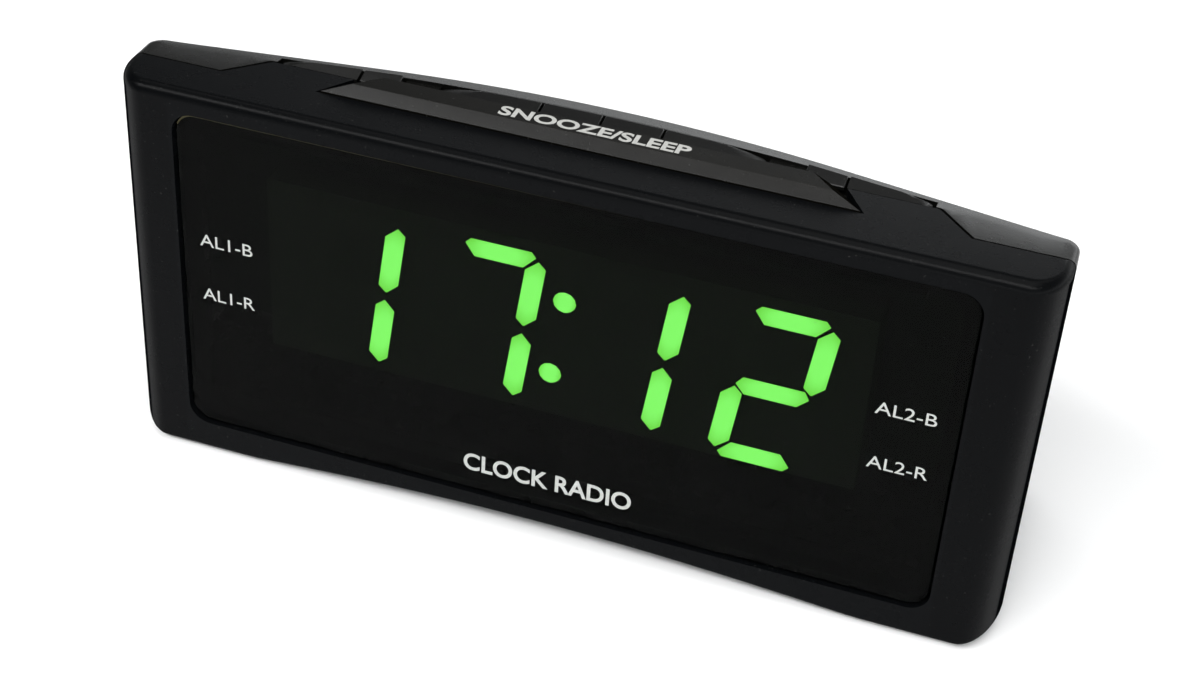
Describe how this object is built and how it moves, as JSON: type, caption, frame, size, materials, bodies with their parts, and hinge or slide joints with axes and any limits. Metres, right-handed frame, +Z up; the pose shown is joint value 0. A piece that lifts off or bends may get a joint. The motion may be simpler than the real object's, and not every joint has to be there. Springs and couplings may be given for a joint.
{
  "type": "clock radio",
  "caption": "Wedge-shaped table clock radio with a large slanted-digit display behind a dark window, a wide snooze bar and a row of small keys on top",
  "frame": {"origin": "centre of the bounding box's footprint, on the table under the feet", "axes": "+X to the right seen from the front, +Y from the face to the rear wall, +Z up; the face looks towards -Y and leans back ten degrees"},
  "size_m": [0.1554, 0.0474, 0.0715],
  "materials": {
    "bezel_plastic": "fine satin moulding texture, black",
    "housing_plastic": "satin moulding texture, black",
    "bar_plastic": "semi-gloss black",
    "key_plastic": "satin black",
    "lens_acrylic": "polished smoked acrylic",
    "reflector_plastic": "matt dark grey",
    "led_resin": "light-scattering resin, lit green",
    "board_laminate": "green solder mask",
    "component_plastic": "moulded epoxy, black",
    "cable_jacket": "grey cable jacket",
    "capacitor_sleeve": "dark blue sleeve",
    "foot_rubber": "matt black rubber",
    "wire_jacket": "soft black wire jacket",
    "speaker_paper": "pressed black paper",
    "magnet_ferrite": "dull plated magnet",
    "plated_steel": "zinc-plated steel"
  },
  "bodies": {
    "case": {"aerial_grommet": "foot_rubber", "aerial_wire": "wire_jacket", "backup_cell": "plated_steel", "cell_contact": "plated_steel", "clock_chip": "component_plastic", "display_board": "board_laminate", "display_lens": "lens_acrylic", "display_reflector": "reflector_plastic", "display_resin": "led_resin", "display_ribbon": "cable_jacket", "filter_capacitor": "capacitor_sleeve", "foot_front_left": "foot_rubber", "foot_front_right": "foot_rubber", "foot_rear_left": "foot_rubber", "foot_rear_right": "foot_rubber", "front_bezel": "bezel_plastic", "key_board": "board_laminate", "key_ribbon": "cable_jacket", "main_board": "board_laminate", "power_jack": "component_plastic", "quartz_crystal": "plated_steel", "radio_chip": "component_plastic", "rear_housing": "housing_plastic", "screw_bottom_left": "plated_steel", "screw_bottom_right": "plated_steel", "screw_top_left": "plated_steel", "screw_top_right": "plated_steel", "speaker_basket": "plated_steel", "speaker_magnet": "magnet_ferrite", "switch_alarm_1": "plated_steel", "switch_alarm_2": "plated_steel", "switch_hour": "plated_steel", "switch_minute": "plated_steel", "switch_power": "plated_steel", "switch_snooze": "plated_steel", "switch_tune_down": "plated_steel", "switch_tune_up": "plated_steel", "switch_volume": "plated_steel"},
    "snooze_bar": {"snooze_bar": "bar_plastic", "plunger_snooze": "component_plastic"},
    "key_alarm_1": {"key_alarm_1": "key_plastic", "plunger_alarm_1": "component_plastic"},
    "key_alarm_2": {"key_alarm_2": "key_plastic", "plunger_alarm_2": "component_plastic"},
    "key_hour": {"key_hour": "key_plastic", "plunger_hour": "component_plastic"},
    "key_minute": {"key_minute": "key_plastic", "plunger_minute": "component_plastic"},
    "key_tune_down": {"key_tune_down": "key_plastic", "plunger_tune_down": "component_plastic"},
    "key_tune_up": {"key_tune_up": "key_plastic", "plunger_tune_up": "component_plastic"},
    "key_volume": {"key_volume": "key_plastic", "plunger_volume": "component_plastic"},
    "key_power": {"key_power": "key_plastic", "plunger_power": "component_plastic"},
    "speaker_cone": {"speaker_cone": "speaker_paper"},
    "battery_door": {"battery_door": "housing_plastic"}
  },
  "joints": [
    {"name": "snooze_press", "type": "slide", "parent": "case", "child": "snooze_bar", "axis": [0, -0.1736, -0.9848], "range_m": [0, 0.001], "stiffness_N_per_m": 80},
    {"name": "alarm_1_press", "type": "slide", "parent": "case", "child": "key_alarm_1", "axis": [0, -0.1736, -0.9848], "range_m": [0, 0.0008], "stiffness_N_per_m": 8},
    {"name": "alarm_2_press", "type": "slide", "parent": "case", "child": "key_alarm_2", "axis": [0, -0.1736, -0.9848], "range_m": [0, 0.0008], "stiffness_N_per_m": 8},
    {"name": "hour_press", "type": "slide", "parent": "case", "child": "key_hour", "axis": [0, -0.1736, -0.9848], "range_m": [0, 0.0008], "stiffness_N_per_m": 8},
    {"name": "minute_press", "type": "slide", "parent": "case", "child": "key_minute", "axis": [0, -0.1736, -0.9848], "range_m": [0, 0.0008], "stiffness_N_per_m": 8},
    {"name": "tune_down_press", "type": "slide", "parent": "case", "child": "key_tune_down", "axis": [0, -0.1736, -0.9848], "range_m": [0, 0.0008], "stiffness_N_per_m": 8},
    {"name": "tune_up_press", "type": "slide", "parent": "case", "child": "key_tune_up", "axis": [0, -0.1736, -0.9848], "range_m": [0, 0.0008], "stiffness_N_per_m": 8},
    {"name": "volume_press", "type": "slide", "parent": "case", "child": "key_volume", "axis": [0, -0.1736, -0.9848], "range_m": [0, 0.0008], "stiffness_N_per_m": 8},
    {"name": "power_press", "type": "slide", "parent": "case", "child": "key_power", "axis": [0, -0.1736, -0.9848], "range_m": [0, 0.0008], "stiffness_N_per_m": 8},
    {"name": "cone_stroke", "type": "slide", "parent": "case", "child": "speaker_cone", "axis": [0.1485, 0.9736, 0.1735], "range_m": [-0.0004, 0.0004], "stiffness_N_per_m": 30},
    {"name": "battery_door_swing", "type": "hinge", "parent": "case", "child": "battery_door", "pos_m": [0, -0.00932, 0.0042], "axis": [-1, 0, 0], "range_deg": [0, 80]}
  ]
}
